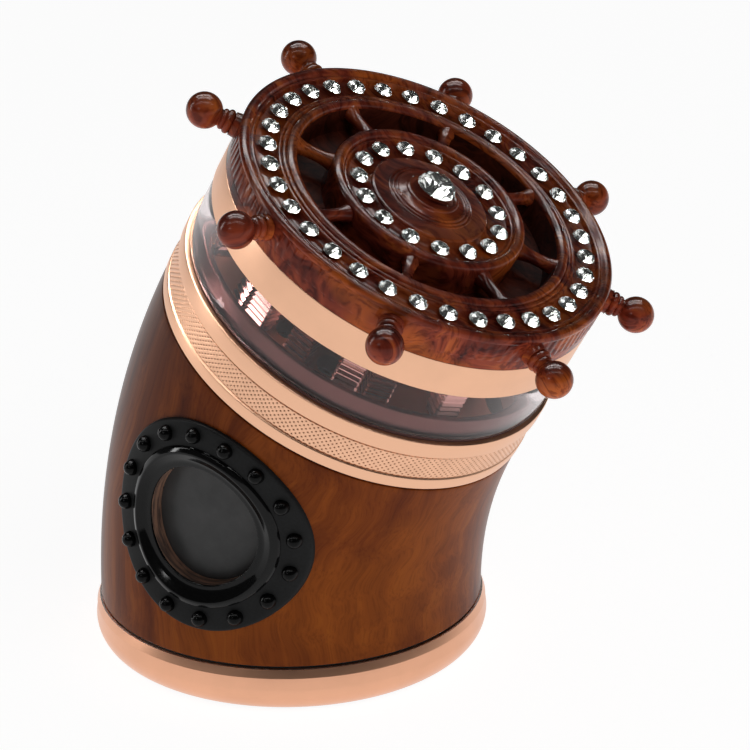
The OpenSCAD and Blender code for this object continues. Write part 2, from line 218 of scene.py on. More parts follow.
def walnut():
    """Satin lacquer over a walnut print: long streaks that wander, with fine pores along them."""
    shade = Shader("walnut_print", Roughness=0.34, Specular_IOR_Level=0.06, Sheen_Weight=0.4,
                   Sheen_Roughness=0.18)
    place = shade.grain((1, 1, 1))
    drift = shade.noise(place, 0.04, 2.0)["Color"]
    wavy = shade.warp(place, drift, 14.0)
    broad = shade.noise(shade.stretch(wavy, 0.34, 0.34, 0.018), 0.8, 4.0, 0.55, 0.2)["Fac"]
    fine = shade.noise(shade.stretch(wavy, 2.6, 2.6, 0.05), 1.0, 3.0, 0.6)["Fac"]
    patch = shade.noise(place, 0.03, 2.0)["Fac"]
    wood = shade.ramp(broad, (0.28, (0.110, 0.020, 0.004)), (0.45, (0.168, 0.034, 0.005)),
                      (0.58, (0.23, 0.051, 0.007)), (0.75, (0.33, 0.086, 0.010)))
    warm = shade.mix(shade.span(patch, 0.42, 0.62, 0.0, 0.45), wood, (0.33, 0.082, 0.008, 1))
    dark = shade.ramp(fine, (0.36, (0.80, 0.78, 0.76)), (0.52, (1.0, 1.0, 1.0)))
    colour = shade.mix(1.0, warm, dark, "MULTIPLY")
    shade.bump(fine, 0.04)
    return shade.set(Base_Color=colour)


def cut_edge():
    """The barrel's own wall where the porthole is cut through it."""
    shade = Shader("walnut_edge", "walnut_print", Roughness=0.35, Specular_IOR_Level=0.1)
    rings = shade.noise(shade.grain((0.2, 0.2, 1.5)), 1.0, 3.0)["Fac"]
    shade.bump(rings, 0.05)
    colour = shade.ramp(rings, (0.4, (0.11, 0.075, 0.062)), (0.6, (0.34, 0.19, 0.13)))
    return shade.set(Base_Color=colour)


def burl(name, seed):
    """Gloss lacquer over a red-brown burl print: wavy bands, orange patches and short dark flecks."""
    shade = Shader(name, Roughness=0.2, Specular_IOR_Level=0.15)
    place = shade.add("Mapping", {"Vector": shade.grain((1, 1, 1)), "Location": (seed, seed, seed)})
    place = place.outputs["Vector"]
    swirl = shade.noise(place, 0.06, 2.0)["Color"]
    wavy = shade.warp(place, swirl, 22.0)
    bands = shade.noise(shade.stretch(wavy, 0.07, 0.30, 0.30), 1.1, 3.0, 0.5, 0.3)["Fac"]
    patch = shade.noise(place, 0.085, 2.0)["Fac"]
    flecks = shade.noise(shade.stretch(wavy, 0.22, 1.3, 1.3), 0.9, 2.0, 0.5)["Fac"]
    wood = shade.ramp(bands, (0.30, (0.085, 0.012, 0.008)), (0.44, (0.205, 0.031, 0.016)),
                      (0.57, (0.34, 0.058, 0.024)), (0.72, (0.54, 0.120, 0.028)))
    warm = shade.mix(shade.span(patch, 0.48, 0.64, 0.0, 0.55), wood, (0.66, 0.150, 0.018, 1))
    dark = shade.ramp(flecks, (0.36, (0.42, 0.32, 0.32)), (0.52, (1.0, 1.0, 1.0)))
    colour = shade.mix(0.8, warm, shade.mix(1.0, warm, dark, "MULTIPLY"))
    shade.bump(flecks, 0.01)
    return shade.set(Base_Color=colour)


def well():
    """The floor between the spokes: the same print, matt, and darkened with painted shade."""
    shade = Shader("burl_floor_painted_shade", "burl_print", Roughness=0.6, Specular_IOR_Level=0.03)
    place = shade.grain((1, 1, 1))
    wavy = shade.warp(place, shade.noise(place, 0.08, 2.0)["Color"], 20.0)
    bands = shade.noise(shade.stretch(wavy, 0.12, 0.5, 0.5), 1.2, 4.0, 0.6, 0.4)["Fac"]
    colour = shade.ramp(bands, (0.35, (0.035, 0.007, 0.004)), (0.65, (0.12, 0.023, 0.011)))
    shade.bump(bands, 0.05)
    return shade.set(Base_Color=colour)


def rose_gold(name, colour, roughness, lines=0.05):
    """Satin anodised metal with faint turning lines round it and a slightly uneven tone."""
    shade = Shader(name, Metallic=1.0)
    turned = shade.noise(shade.grain((0.15, 0.15, 9.0)), 1.0, 3.0)["Fac"]
    cloud = shade.noise(shade.grain((1, 1, 1)), 0.12, 3.0)["Fac"]
    low = tuple(0.94 * value for value in colour)
    tone = shade.ramp(cloud, (0.35, low), (0.65, colour))
    shade.bump(turned, lines, 0.05)
    return shade.set(Base_Color=tone, Roughness=shade.span(turned, 0.3, 0.7, roughness, roughness + 0.06))


def pitted(name, colour, roughness):
    """The same metal with its knurled pits rougher and darkened with painted shade."""
    shade = Shader(name, "rose_gold_tray", Metallic=1.0)
    depth = shade.add("Attribute", attribute_name="depth").outputs["Fac"]
    cloud = shade.noise(shade.grain((1, 1, 1)), 0.4, 3.0)["Fac"]
    low = tuple(0.92 * value for value in colour)
    tone = shade.ramp(cloud, (0.35, low), (0.65, colour))
    # Painted shade: the colour darkens with the depth of each pit.
    pit_shade = shade.mix(shade.span(depth, 0.1, 0.7), tone, (0.34, 0.15, 0.085, 1))
    return shade.set(Base_Color=pit_shade, Roughness=shade.span(depth, 0.0, 0.6, roughness, 0.6))


def black(name, tone, roughness, shine):
    """Moulded black with a very fine grain."""
    shade = Shader(name, Specular_IOR_Level=shine)
    grain = shade.noise(shade.grain((1, 1, 1)), 2.2, 4.0)["Fac"]
    colour = shade.ramp(grain, (0.3, (tone * 0.8,) * 3), (0.7, (tone, tone * 1.02, tone * 1.06)))
    shade.bump(grain, 0.03, 0.08)
    return shade.set(Base_Color=colour, Roughness=shade.span(grain, 0.3, 0.7, roughness, roughness + 0.06))


def smoked():
    """A smoked pane with a faint haze of rubbing on it."""
    shade = Shader("smoked_glass", Specular_IOR_Level=0.15)
    haze = shade.noise(shade.grain((1, 1, 1)), 0.3, 5.0)["Fac"]
    colour = shade.ramp(haze, (0.3, (0.048, 0.048, 0.048)), (0.7, (0.066, 0.065, 0.065)))
    return shade.set(Base_Color=colour, Roughness=shade.span(haze, 0.3, 0.7, 0.28, 0.4))


def acrylic():
    """Clear polished acrylic, lightly smoked, with the lightest wave in its surface."""
    shade = Shader("clear_acrylic", Transmission_Weight=1.0, IOR=1.33, Sheen_Weight=0.5,
                   Sheen_Roughness=0.3, Sheen_Tint=(1.0, 0.9, 0.9, 1))
    wave = shade.noise(shade.grain((1, 1, 1)), 0.25, 2.0)["Fac"]
    shade.bump(wave, 0.003, 0.1)
    colour = shade.ramp(wave, (0.3, (0.86, 0.75, 0.76)), (0.7, (0.90, 0.80, 0.81)))
    return shade.set(Base_Color=colour, Roughness=shade.span(wave, 0.3, 0.7, 0.0, 0.02))


def cut_glass():
    """The clear crown of a stone."""
    shade = Shader("crystal", Transmission_Weight=1.0, IOR=1.5)
    tint = shade.noise(shade.grain((1, 1, 1)), 0.6, 2.0)["Fac"]
    colour = shade.ramp(tint, (0.3, (0.96, 0.97, 0.95)), (0.7, (1.0, 1.0, 1.0)))
    return shade.set(Base_Color=colour, Roughness=shade.span(tint, 0.3, 0.7, 0.0, 0.02))


def foil():
    """The silver backing behind a stone."""
    shade = Shader("stone_foil", Metallic=1.0)
    tint = shade.noise(shade.grain((1, 1, 1)), 0.9, 2.0)["Fac"]
    colour = shade.ramp(tint, (0.3, (0.8, 0.81, 0.78)), (0.7, (0.97, 0.97, 0.95)))
    return shade.set(Base_Color=colour, Roughness=shade.span(tint, 0.3, 0.7, 0.06, 0.14))


def steel(name, tone, roughness):
    """Steel or nickel, brushed one way."""
    shade = Shader(name, Metallic=1.0)
    brushed = shade.noise(shade.grain((4.0, 0.3, 4.0)), 1.0, 3.0)["Fac"]
    colour = shade.ramp(brushed, (0.3, (tone * 0.85,) * 3), (0.7, (tone,) * 3))
    shade.bump(brushed, 0.1, 0.05)
    return shade.set(Base_Color=colour, Roughness=shade.span(brushed, 0.3, 0.7, roughness, roughness + 0.12))


def rubber(name, colour, grit=0.2):
    """Matt rubber or nylon. Its grit is how strongly the grain stands up."""
    shade = Shader(name, Specular_IOR_Level=0.2)
    grain = shade.noise(shade.grain((1, 1, 1)), 3.0, 4.0)["Fac"]
    low = tuple(0.7 * value for value in colour)
    tone = shade.ramp(grain, (0.3, low), (0.7, colour))
    shade.bump(grain, grit, 0.05)
    return shade.set(Base_Color=tone, Roughness=shade.span(grain, 0.3, 0.7, 0.5, 0.65))


GOLD = (0.86, 0.5, 0.325)
WALNUT = walnut()
WALNUT_EDGE = cut_edge()
BURL = burl("burl_print", 0.0)
BURL_HANDLES = burl("burl_handles", 40.0)
# Painted shade: the floor between the spokes is darkened as if in shadow.
WELL_PAINTED_SHADE = well()
GOLD_CAP = rose_gold("rose_gold_cap", GOLD, 0.36)
GOLD_TRAY = rose_gold("rose_gold_tray", GOLD, 0.34)
GOLD_KNURL = pitted("rose_gold_knurl", GOLD, 0.36)
# Painted shade: a dark copy of the rose gold for the tray's lip seen through the window.
GOLD_LIP_PAINTED_SHADE = rose_gold("rose_gold_lip_painted_shade", (0.2, 0.105, 0.095), 0.34, 0.06)
GOLD_BASE = rose_gold("rose_gold_base", (0.8, 0.42, 0.265), 0.28, 0.02)
# Painted contact shade: a dark copy of the base's rose gold for the underside below FOOT_H.
GOLD_FOOT_PAINTED_SHADE = rose_gold("rose_gold_foot_painted_shade", (0.1, 0.04, 0.03), 0.5)
# Painted highlight: a near-white copy of the base's rose gold for the top edge above EDGE_H.
GOLD_EDGE_PAINTED_HIGHLIGHT = rose_gold("rose_gold_edge_painted_highlight", (0.97, 0.9, 0.86), 0.24, 0.01)
GOLD_TEETH = rose_gold("rose_gold_teeth", (0.84, 0.54, 0.47), 0.14, 0.02)
GOLD_PLATE = rose_gold("rose_gold_plate", (0.7, 0.4, 0.35), 0.35)
SATIN_BLACK = black("satin_black", 0.018, 0.4, 0.06)
GLOSS_BLACK = black("gloss_black", 0.006, 0.06, 0.16)
RIVET_BLACK = black("rivet_black", 0.003, 0.2, 0.1)
SMOKED = smoked()
ACRYLIC = acrylic()
CRYSTAL = cut_glass()
FOIL = foil()
RUBBER = rubber("black_rubber", (0.012, 0.012, 0.012))
NYLON = rubber("nylon_black", (0.13, 0.06, 0.055), 0.01)
MESH_STEEL = steel("steel_mesh", 0.6, 0.3)
SPRING_STEEL = steel("spring_steel", 0.5, 0.3)
SCREW_STEEL = steel("screw_steel", 0.55, 0.28)
NICKEL = steel("nickel_magnet", 0.75, 0.12)

# ---------------------------------------------------------------- outlines and meshes


def arc(x, y, radius, start, end, steps=10):
    """Points on a circle's arc, between two angles in degrees."""
    turns = [math.radians(start + (end - start) * i / steps) for i in range(steps + 1)]
    return [(x + radius * math.cos(turn), y + radius * math.sin(turn)) for turn in turns]


def rounded(corners, steps=4):
    """A closed outline from corners: (x, y) stays sharp, and (x, y, reach) is rounded off."""
    points = []
    for i, corner in enumerate(corners):
        here = Vector(corner[:2])
        if len(corner) == 2:
            points.append(tuple(here))
            continue
        back = Vector(corners[i - 1][:2]) - here
        on = Vector(corners[(i + 1) % len(corners)][:2]) - here
        start = here + back.normalized() * min(corner[2], back.length * 0.48)
        end = here + on.normalized() * min(corner[2], on.length * 0.48)
        for k in range(steps + 1):
            t = k / steps
            points.append(tuple(start * (1 - t) ** 2 + here * 2 * t * (1 - t) + end * t * t))
    return points


def divided(points, longest):
    """The same closed outline with no side longer than a length."""
    result = []
    for i, start in enumerate(points):
        end = points[(i + 1) % len(points)]
        parts = max(1, math.ceil(math.dist(start, end) / longest))
        result += [(start[0] + (end[0] - start[0]) * k / parts, start[1] + (end[1] - start[1]) * k / parts)
                   for k in range(parts)]
    return result


def lathe(outline, steps=192, shape=None):
    """Vertices and faces of a closed outline of (radius, height) turned round Z."""
    verts = []
    for i in range(steps):
        turn = 2 * math.pi * i / steps
        for radius, height in outline:
            out = shape(radius, height, turn) if shape else radius
            verts.append((out * math.cos(turn), out * math.sin(turn), height))
    count = len(outline)
    faces = []
    for i in range(steps):
        here, there = i * count, (i + 1) % steps * count
        for j in range(count):
            k = (j + 1) % count
            faces.append((here + j, there + j, there + k, here + k))
    return verts, faces


def joined(parts):
    """One list of vertices and faces from several."""
    verts, faces = [], []
    for part_verts, part_faces in parts:
        start = len(verts)
        verts += part_verts
        faces += [tuple(start + i for i in face) for face in part_faces]
    return verts, faces


def moved(part, matrix):
    verts, faces = part
    return [tuple(matrix @ Vector(vert)) for vert in verts], faces


def piece(name, body, part, materials, place=BASE, nodes=(), bend=None, pick=None, smooth=32):
    """Makes a mesh from millimetre vertices, keeps them as its grain, puts it in place and rides it."""
    verts, faces = part
    work = bmesh.new()
    made = [work.verts.new(vert) for vert in verts]
    for face in faces:
        if len(set(face)) > 2:
            work.faces.new([made[i] for i in face])
    bmesh.ops.remove_doubles(work, verts=work.verts, dist=1e-4)
    bmesh.ops.dissolve_degenerate(work, edges=work.edges, dist=1e-5)
    bmesh.ops.recalc_face_normals(work, faces=work.faces)
    for face in work.faces:
        face.smooth = True
        if pick:
            face.material_index = pick(face)
    mesh = bpy.data.meshes.new(name)
    work.to_mesh(mesh)
    work.free()
    add_grain(mesh, 1.0)
    for vert in mesh.vertices:
        vert.co = place @ (bend(vert.co) if bend else vert.co)
    mesh.set_sharp_from_angle(angle=math.radians(smooth))
    for material in materials:
        mesh.materials.append(material)
    made = bpy.data.objects.new(name, mesh)
    bpy.context.scene.collection.objects.link(made)
    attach(made, body)
    if nodes:
        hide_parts(*nodes)
    return made


def add_grain(mesh, scale):
    """Keeps each vertex's place, in millimetres, as the coordinates that the materials read."""
    grain = mesh.attributes.new("grain", "FLOAT_VECTOR", "POINT")
    for vert, value in zip(mesh.vertices, grain.data):
        value.vector = vert.co * scale


def around(count, first=0.0):
    """Turns spread evenly round a circle."""
    return [first + 2 * math.pi * i / count for i in range(count)]


def on_ring(turn, radius, height):
    """A place at a radius and height, with its X pointing outwards."""
    return Matrix.Rotation(turn, 4, "Z") @ Matrix.Translation((radius, 0, height))


def outwards(turn, height):
    """A place whose Z runs outwards from the neck's axis."""
    lay_down = Matrix.Rotation(math.pi / 2, 4, "Y")
    return Matrix.Rotation(turn, 4, "Z") @ Matrix.Translation((0, 0, height)) @ lay_down


# ---------------------------------------------------------------- base and barrel


def spigot(low):
    """The threaded outside of a spigot, from its foot up, as corners."""
    ridges = []
    for i in range(RIDGES):
        middle = low + PITCH / 2 + PITCH * i
        ridges += [(SPIGOT_R, middle - RIDGE), (SPIGOT_R + RIDGE, middle, 0.15), (SPIGOT_R, middle + RIDGE)]
    return ridges


def base_cup():
    spigot_top = CUP_H + SPIGOT_H
    outline = [(0, 0)] + arc(CUP_R - CUP_CORNER, CUP_CORNER, CUP_CORNER, -90, 2, 24)
    outline += rounded([(32.22, 6.35, 0.5), (31.64, EDGE_H), (31.32, CUP_H)], 3)
    outline += rounded([(SPIGOT_R, CUP_H)] + spigot(CUP_H) + [
        (SPIGOT_R, spigot_top, 0.2), (INNER_R, spigot_top, 0.2), (INNER_R, CUP_FLOOR, 1.2), (0, CUP_FLOOR)])
    # The underside gets painted shade and the top edge a painted highlight.
    piece("base_cup_skin", "base", lathe(outline, 256), [GOLD_BASE, GOLD_FOOT_PAINTED_SHADE, GOLD_EDGE_PAINTED_HIGHLIGHT],
          nodes=["base_cup"], pick=cup_painted_shade_and_highlight)


def cup_painted_shade_and_highlight(face):
    """Picks the underside, darkened with painted contact shade, and the top edge, lightened with a painted
    highlight.
    """
    middle = face.calc_center_median()
    if middle.z < FOOT_H:
        return 1
    return 2 if middle.z > EDGE_H and middle.xy.length > EDGE_R else 0


def bent(co):
    """Carries a point of the straight barrel onto its bend."""
    turn = co.z / BEND_R
    reach = BEND_R - co.x
    return Vector((BEND_R - reach * math.cos(turn), co.y, SEAM_Z + reach * math.sin(turn)))


def barrel():
    """The barrel is turned straight, opened under the porthole and then bent."""
    outline = divided(rounded([
        (BARREL_R, 0, 0.3), (BARREL_R, BARREL_L, 0.3), (BORE_R, BARREL_L, 0.3),
        (BORE_R, BARREL_L - BORE_DEPTH), (BARREL_R - WALL, BARREL_L - BORE_DEPTH),
        (BARREL_R - WALL, BORE_DEPTH), (BORE_R, BORE_DEPTH), (BORE_R, 0, 0.3)]), 1.0)
    verts, faces = lathe(outline, 240)

    def over_port(face):
        middle = sum((bent(Vector(verts[i])) for i in face), Vector()) / len(face)
        return middle.y < 0 and math.dist((middle.x, middle.z), (PORT_X, PORT_Z)) < VIEW_R + 1.6

    kept = [face for face in faces if not over_port(face)]
    piece("barrel_skin", "body", (verts, kept), [WALNUT], nodes=["body_shell"], bend=bent)


def on_port(co):
    """Carries a porthole point (across, up, height) onto the barrel's curved skin."""
    x, z = PORT_X + co.x, PORT_Z + co.y
    across = BEND_R - math.dist((BEND_R, SEAM_Z), (x, z))
    return Vector((x, -math.sqrt((BARREL_R + co.z) ** 2 - across ** 2), z))


def port_ring(name, outline, material, nodes=()):
    """Turns a closed outline round the porthole and lays it on the barrel's skin."""
    piece(name, "body", lathe(divided(outline, 1.2), 192), [material], nodes=nodes, bend=on_port)


def rivet(turn):
    """A round-headed rivet that stands square to the barrel's skin."""
    foot = Vector((RIVET_CIRCLE_R * math.cos(turn), RIVET_CIRCLE_R * math.sin(turn), FLANGE_T))
    low, high = on_port(foot), on_port(foot + Vector((0, 0, 1)))
    stand = (high - low).to_track_quat("Z", "Y").to_matrix().to_4x4()
    outline = [(0, -0.25), (RIVET_R, -0.25)] + arc(0, RIVET_RISE, RIVET_R, 0, 90, 10)
    return moved(lathe(outline, 32), Matrix.Translation(low) @ stand)


def porthole():
    collar = WALL * 0.7
    port_ring("port_wall", rounded([
        (VIEW_R, 0.02, 0.1), (BEZEL_R - 0.5, 0.02), (BEZEL_R - 0.5, -collar), (VIEW_R, -collar)]),
        WALNUT_EDGE)
    port_ring("port_flange", rounded([
        (BEZEL_R - 0.2, 0), (FLANGE_R, 0), (FLANGE_R, FLANGE_T, 0.5), (BEZEL_R - 0.2, FLANGE_T)]),
        SATIN_BLACK, ["porthole_flange"])
    port_ring("port_bezel", rounded([
        (VIEW_R, 0.02), (BEZEL_R, 0.02), (BEZEL_R, 0.95, 0.06), (13.3, 1.25, 0.1), (12.45, BEZEL_RISE, 0.3),
        (10.9, 0.55, 0.5), (VIEW_R, 0.35, 0.15)]), GLOSS_BLACK, ["porthole_bezel"])
    port_ring("port_pane", rounded([
        (0, PANE_H - PANE_T), (PANE_R, PANE_H - PANE_T, 0.2), (PANE_R, PANE_H, 0.2), (0, PANE_H)]),
        SMOKED, ["porthole_window"])
    rivets = joined([rivet(turn) for turn in around(RIVETS)])
    piece("port_rivets", "body", rivets, [RIVET_BLACK], nodes=["porthole_rivets"])


# ---------------------------------------------------------------- grinding tray


def tray():
    low = SEAL - SPIGOT_H
    outline = rounded([
        (0, TRAY_FLOOR_LOW), (INNER_R, TRAY_FLOOR_LOW, 0.3), (INNER_R, low, 0.2), (SPIGOT_R, low, 0.2)]
        + spigot(low) + [
        (SPIGOT_R, SEAL), (TRAY_R, SEAL, 0.15), (TRAY_R, KNURL_LOW - 0.35, 0.12),
        (KNURL_SEAT_R, KNURL_LOW - 0.05, 0.05), (KNURL_SEAT_R, KNURL_HIGH + 0.02, 0.05),
        (UPPER_BAND_R, KNURL_HIGH + 0.4, 0.12), (UPPER_BAND_R, TRAY_H, 0.25), (LIP_R, TRAY_H, 0.1),
        (LIP_R, LIP_H, 0.3), (LIP_IN_R, LIP_H, 0.3), (LIP_IN_R, TRAY_FLOOR_HIGH, 0.8),
        (BOSS_R, TRAY_FLOOR_HIGH, 0.4), (BOSS_R, BOSS_H, 0.3), (MAGNET_R, BOSS_H, 0.1),
        (MAGNET_R, MAGNET_H), (0, MAGNET_H)])
    # The lip above the band takes the second material, dark with painted shade.
    made = piece("tray_skin", "tray", lathe(outline, 256), [GOLD_TRAY, GOLD_LIP_PAINTED_SHADE], NECK, ["grinding_tray"],
                 pick=lambda face: 1 if face.calc_center_median().z > TRAY_H + 0.01 else 0)
    low, high = TRAY_FLOOR_LOW - 1, TRAY_FLOOR_HIGH + 1
    cutters = []
    for radius, count, first, hole in ((16.6, 12, 15, 1.9), (25.2, 20, 9, 1.6)):
        drill = lathe([(0, low), (hole, low), (hole, high), (0, high)], 32)
        cutters += [moved(drill, on_ring(turn, radius, 0)) for turn in around(count, math.radians(first))]
    cut_out(made, joined(cutters), NECK)


def cut_out(made, part, place):
    """Cuts a closed mesh out of a piece, and keeps no modifier."""
    verts, faces = part
    mesh = bpy.data.meshes.new("cutter")
    mesh.from_pydata([place @ Vector(vert) for vert in verts], [], faces)
    work = bmesh.new()
    work.from_mesh(mesh)
    bmesh.ops.remove_doubles(work, verts=work.verts, dist=1e-7)
    bmesh.ops.recalc_face_normals(work, faces=work.faces)
    work.to_mesh(mesh)
    work.free()
    cutter = bpy.data.objects.new("cutter", mesh)
    bpy.context.scene.collection.objects.link(cutter)
    modifier = made.modifiers.new("holes", "BOOLEAN")
    modifier.operation = "DIFFERENCE"
    modifier.object = cutter
    modifier.solver = "EXACT"
    bpy.context.view_layer.objects.active = made
    bpy.ops.object.modifier_apply(modifier="holes")
    bpy.data.objects.remove(cutter)


def knurl():
    """The pitted band, as a fine ring whose surface dips in staggered rows."""
    across, up = KNURL_PITCHES * 6, KNURL_ROWS * 6
    verts, depths = [], []
    for i in range(across):
        turn = 2 * math.pi * i / across
        for j in range(up + 1):
            wave = math.cos(KNURL_PITCHES * turn) * math.cos(math.pi * KNURL_ROWS * j / up)
            dip = max(0.0, wave - 0.35) / 0.65
            dip = dip * dip * (3 - 2 * dip)
            edge = j in (0, up)
            radius = TRAY_R - (0.3 if edge else 0.16 + 0.2 * dip)
            height = KNURL_LOW + (KNURL_HIGH - KNURL_LOW) * j / up
            verts.append((radius * math.cos(turn), radius * math.sin(turn), height))
            # The band's edge rows carry a fixed depth, so the grooves there are darkened with painted shade
            # too.
            depths.append(0.25 if edge else dip)
    faces = []
    for i in range(across):
        here, there = i * (up + 1), (i + 1) % across * (up + 1)
        faces += [(here + j, there + j, there + j + 1, here + j + 1) for j in range(up)]
    made = piece("tray_knurl", "tray", (verts, faces), [GOLD_KNURL], NECK, smooth=60)
    made.data.attributes.new("depth", "FLOAT", "POINT").data.foreach_set("value", depths)


def tooth(height):
    """A serrated tooth: a stack of ridges that narrows to a blunt tip."""
    step, width, depth = 0.86, 4.3, 3.4
    steps = int(height / step)
    outline = []
    for i in range(steps):
        outline += [(1.0, (i + 0.1) * step), (1.0, (i + 0.3) * step), (0.8, (i + 0.65) * step)]
    outline += [(0.8, height - 0.2), (0.6, height)]
    verts = []
    for reach, level in outline:
        x, y = depth / 2 * reach, width / 2 * (0.55 + 0.45 * reach)
        verts += [(x, y * 0.86, level), (x * 0.8, y, level), (-x * 0.8, y, level), (-x, y * 0.86, level),
                  (-x, -y * 0.86, level), (-x * 0.8, -y, level), (x * 0.8, -y, level), (x, -y * 0.86, level)]
    faces = [tuple(range(8)), tuple(range(len(verts) - 8, len(verts)))]
    for ring in range(len(outline) - 1):
        for k in range(8):
            here, other = ring * 8 + k, ring * 8 + (k + 1) % 8
            faces.append((here, other, other + 8, here + 8))
    return verts, faces


def teeth(name, body, nodes, rows, root, height, up):
    """Rows of teeth on the tray or under the lid: a row is (radius, count, first turn in degrees)."""
    parts = []
    flip = Matrix.Identity(4) if up else Matrix.Diagonal((1, 1, -1, 1))
    for radius, count, first in rows:
        for turn in around(count, math.radians(first)):
            parts.append(moved(tooth(height), on_ring(turn, radius, root) @ flip))
    piece(name, body, joined(parts), [GOLD_TEETH], NECK, nodes, smooth=20)


# ---------------------------------------------------------------- lid


def lid():
    cap = rounded([
        (0, CAP_CEILING), (CAP_IN_R, CAP_CEILING), (CAP_IN_R, CAP_LOW, 0.1), (CAP_R, CAP_LOW, 0.15),
        (CAP_R, CAP_HIGH, 0.12), (0, CAP_HIGH)])
    piece("lid_cap_skin", "lid", lathe(cap, 256), [GOLD_CAP], NECK, ["lid_cap"])
    window = rounded([
        (WINDOW_IN_R, WINDOW_LOW, 0.25), (WINDOW_R, WINDOW_LOW, 0.3), (WINDOW_R, CAP_LOW - 0.02, 0.12),
        (30.28, CAP_LOW - 0.02), (30.28, WINDOW_HIGH, 0.1), (WINDOW_IN_R, WINDOW_HIGH, 0.1)])
    piece("window_skin", "lid", lathe(window, 256), [ACRYLIC], NECK, ["window_ring"])


def ribbed(radius, height, turn):
    """Pushes the rim's side in and out for its ribs."""
    if radius < 30.9 or not 27.5 < height < 30.9:
        return radius
    return RIB_R + RIB_DEPTH * (1 + math.cos(RIBS * turn))


def rim():
    outline = [(0, CAP_HIGH)] + rounded([(CAP_R, CAP_HIGH, 0.12), (CAP_R, 27.3, 0.2), (RIB_R, 27.4)], 3)
    outline += [(RIB_R, height) for height in (27.6, 27.7, 30.8, 30.95)]
    outline += arc(30.58, 31.2, 0.86, -20, 150, 14)
    outline += arc(29.3, 31.3, 0.3, 20, 180, 8)
    outline += rounded([(28.95, CHANNEL_H, 0.25), (25.1, CHANNEL_H, 0.25)])
    outline += arc(24.78, 31.15, 0.3, 10, 150, 8)
    outline += arc(24.12, 31.34, 0.36, 15, 160, 8)
    outline += arc(22.92, 31.2, 0.92, 35, 180, 14)
    outline += rounded([(RIM_IN_R, WELL_H, 0.6), (0, WELL_H)])
    part = lathe(outline, RIBS * 8, ribbed)
    piece("wheel_rim_skin", "lid", part, [BURL, WELL_PAINTED_SHADE], NECK, ["wheel_rim"], pick=in_well)


def in_well(face):
    """Picks the second material, darkened with painted shade, for the floor and the wall between the rim and
    the hub.
    """
    middle = face.calc_center_median()
    return 1 if WELL_H - 0.1 < middle.z < CHANNEL_H and middle.xy.length < RIM_IN_R + 0.1 else 0


def hub():
    outline = [(0, WELL_H), (HUB_R, WELL_H)]
    outline += arc(HUB_R - 0.95, 31.6, 0.95, 0, 150, 16)
    outline += arc(14.05, 31.6, 0.28, 20, 180, 8)
    outline += rounded([(13.7, HUB_CHANNEL_H, 0.25), (10.0, HUB_CHANNEL_H, 0.2)])
    outline += arc(9.3, 31.55, 0.45, 0, 110, 8)
    outline += [(7.3, 32.2)]
    for radius, height in ((6.9, 32.1), (6.3, 32.24), (5.7, 32.38)):
        outline += arc(radius, height, 0.24, 20, 160, 6)
    outline += [(4.7, 32.68)]
    outline += arc(3.95, 32.8, 0.44, 10, 180, 8)
    outline += [(3.3, 32.75), (0, 32.75)]
    piece("wheel_hub_skin", "lid", lathe(outline, 192), [BURL], NECK, ["wheel_hub"])


def spokes():
    gap, tenon, end_r = RIM_IN_R - HUB_R, 0.4, 1.44
    waist = [(1.02 + 0.42 * abs(2 * i / 16 - 1) ** 2.6, gap * i / 16) for i in range(17)]
    outline = [(0, -tenon), (end_r, -tenon)] + waist + [(end_r, gap + tenon), (0, gap + tenon)]
    part = lathe(outline, 40)
    parts = [moved(part, outwards(turn, SPOKE_H) @ Matrix.Translation((0, 0, HUB_R)))
             for turn in around(SPOKES, SPOKE_TURN)]
    piece("wheel_spokes_skin", "lid", joined(parts), [BURL], NECK, ["wheel_spokes"])


def handles():
    outline = [(0, 30.6), (2.1, 30.6)] + rounded([(2.15, 32.25, 0.35), (1.62, 32.4, 0.1)])
    outline += arc(1.4, 32.95, 0.58, -80, 80, 10)
    outline += arc(1.25, 33.85, 0.46, -80, 80, 10)
    outline += arc(0, KNOB_AT, KNOB_R, -61, 90, 26)
    part = lathe(outline, 48)
    parts = [moved(part, outwards(turn, HANDLE_H)) for turn in around(SPOKES, SPOKE_TURN)]
    piece("wheel_handles_skin", "lid", joined(parts), [BURL_HANDLES], NECK, ["wheel_handles"])


def stone(radius, spin):
    """A cut stone: a crown of table, star and kite facets over a foiled point of sixteen facets."""
    girdle, table, crown = 0.46 * radius, 0.96 * radius, 0.8 * radius
    verts = [(0, 0, 0.02)]
    verts += [(radius * math.cos(t), radius * math.sin(t), girdle) for t in around(16, spin)]
    verts += [(radius * 0.84 * math.cos(t), radius * 0.84 * math.sin(t), crown) for t in around(8, spin)]
    verts += [(radius * 0.56 * math.cos(t), radius * 0.56 * math.sin(t), table)
              for t in around(8, spin + math.pi / 8)]
    faces = [(0, 1 + (i + 1) % 16, 1 + i) for i in range(16)]
    for i in range(8):
        edge, mid, top = 1 + 2 * i, 17 + i, 25 + i
        after_edge, after_mid, before_top = 1 + (2 * i + 2) % 16, 17 + (i + 1) % 8, 25 + (i - 1) % 8
        faces += [(mid, edge, edge + 1), (mid, edge + 1, after_mid), (after_mid, edge + 1, after_edge)]
        faces += [(mid, after_mid, top), (mid, top, before_top)]
    faces.append(tuple(range(25, 33)))
    return verts, faces


def stones(name, nodes, count, ring, first, height, radius):
    """Stones spread round a ring, each turned at random and tilted a little."""
    chance = random.Random(name)
    parts = []
    for turn in around(count, math.radians(first)):
        tilt = (Matrix.Rotation(chance.uniform(-0.05, 0.05), 4, "X")
                @ Matrix.Rotation(chance.uniform(-0.05, 0.05), 4, "Y"))
        parts.append(moved(stone(radius, chance.uniform(0, 1)), on_ring(turn, ring, height) @ tilt))
    piece(name, "lid", joined(parts), [CRYSTAL, FOIL], NECK, nodes, smooth=1,
          pick=lambda face: 1 if face.normal.z < -0.1 else 0)


